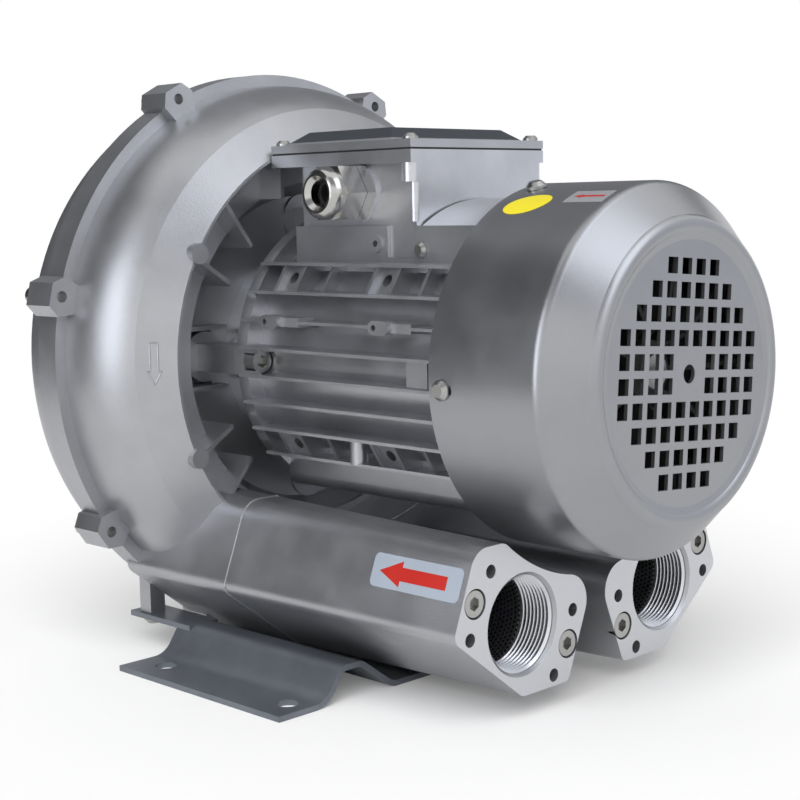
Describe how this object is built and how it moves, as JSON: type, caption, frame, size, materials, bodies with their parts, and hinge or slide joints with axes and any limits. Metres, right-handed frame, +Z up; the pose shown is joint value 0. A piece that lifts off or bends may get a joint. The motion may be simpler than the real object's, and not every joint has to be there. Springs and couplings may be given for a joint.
{
  "type": "side channel blower",
  "caption": "Silver side channel blower: finned motor with fan cowl and terminal box, ring casing with vaned wheel, paired port silencers and a folded steel foot.",
  "frame": {"origin": "on the floor, on the foot's flat middle, under the motor shaft, 5.5 mm from the middle of the foot's four holes", "axes": "+Z up, Y along the motor shaft with the fan cowl towards -Y and the casing cover towards +Y, X across with the cable gland towards -X"},
  "size_m": [0.3284, 0.3441, 0.3247],
  "materials": {
    "machined_alu": "turned and milled, bright",
    "motor_silver": "silver paint, satin",
    "box_paint": "silver paint, satin",
    "lid_paint": "dark blue-grey paint, fine orange peel",
    "cowl_paint": "silver paint on pressed steel, satin",
    "foot_paint": "grey paint on folded steel, satin",
    "zinc_screw": "bright zinc",
    "nickel": "nickel plated, bright",
    "shaft_steel": "ground",
    "bearing_steel": "ground and polished",
    "lamination": "stacked sheet, oiled",
    "copper": "varnished copper wire",
    "black_rubber": "matt",
    "fan_plastic": "glass-filled, matt",
    "board_plastic": "moulded, matt",
    "foam": "open foam, matt",
    "sleeve_mesh": "perforated sheet",
    "spring_steel": "blued strip",
    "casting": "silver paint on cast aluminium, satin",
    "brass_stud": "bright"
  },
  "bodies": {
    "base": {"blower_casing": "casting", "casing_cover": "casting", "silencer_near": "casting", "silencer_far": "casting", "cover_screws": "zinc_screw", "stator_core": "lamination", "stator_windings": "copper", "motor_frame": "motor_silver", "frame_screws": "zinc_screw", "drive_end_shield": "motor_silver", "shaft_seal": "black_rubber", "fan_end_shield": "motor_silver", "shield_screws": "zinc_screw", "wave_spring": "spring_steel", "drive_bearing_outer": "bearing_steel", "fan_bearing_outer": "bearing_steel", "fan_cowl": "cowl_paint", "cowl_screws": "zinc_screw", "terminal_box": "box_paint", "terminal_lid": "lid_paint", "lid_gasket": "black_rubber", "lid_screws": "zinc_screw", "box_screws": "zinc_screw", "terminal_board": "board_plastic", "terminal_studs": "brass_stud", "gland_body": "nickel", "gland_nut": "nickel", "gland_seal": "black_rubber", "earth_screw": "zinc_screw", "silencer_liner_near": "foam", "silencer_liner_far": "foam", "silencer_sleeve_near": "sleeve_mesh", "silencer_sleeve_far": "sleeve_mesh", "silencer_screws_near": "zinc_screw", "silencer_screws_far": "zinc_screw", "foot": "foot_paint", "foot_screws": "zinc_screw"},
    "rotor": {"shaft": "shaft_steel", "rotor_core": "lamination", "rotor_cage": "machined_alu", "impeller": "machined_alu", "impeller_key": "shaft_steel", "impeller_washer": "zinc_screw", "impeller_bolt": "zinc_screw", "cooling_fan": "fan_plastic", "fan_clip": "spring_steel", "drive_bearing_inner": "bearing_steel", "fan_bearing_inner": "bearing_steel"},
    "drive_balls": {"drive_bearing_balls": "bearing_steel"},
    "fan_balls": {"fan_bearing_balls": "bearing_steel"}
  },
  "joints": [
    {"name": "rotor_spin", "type": "hinge", "parent": "base", "child": "rotor", "pos_m": [0, 0, 0.1665], "axis": [0, 1, 0], "continuous": true},
    {"name": "drive_balls_spin", "type": "hinge", "parent": "base", "child": "drive_balls", "pos_m": [0, 0.042, 0.1665], "axis": [0, 1, 0], "continuous": true},
    {"name": "fan_balls_spin", "type": "hinge", "parent": "base", "child": "fan_balls", "pos_m": [0, -0.136, 0.1665], "axis": [0, 1, 0], "continuous": true}
  ],
  "couplings": [
    {"joint": "drive_balls_spin", "follows": "rotor_spin", "ratio": 0.396},
    {"joint": "fan_balls_spin", "follows": "rotor_spin", "ratio": 0.379}
  ]
}
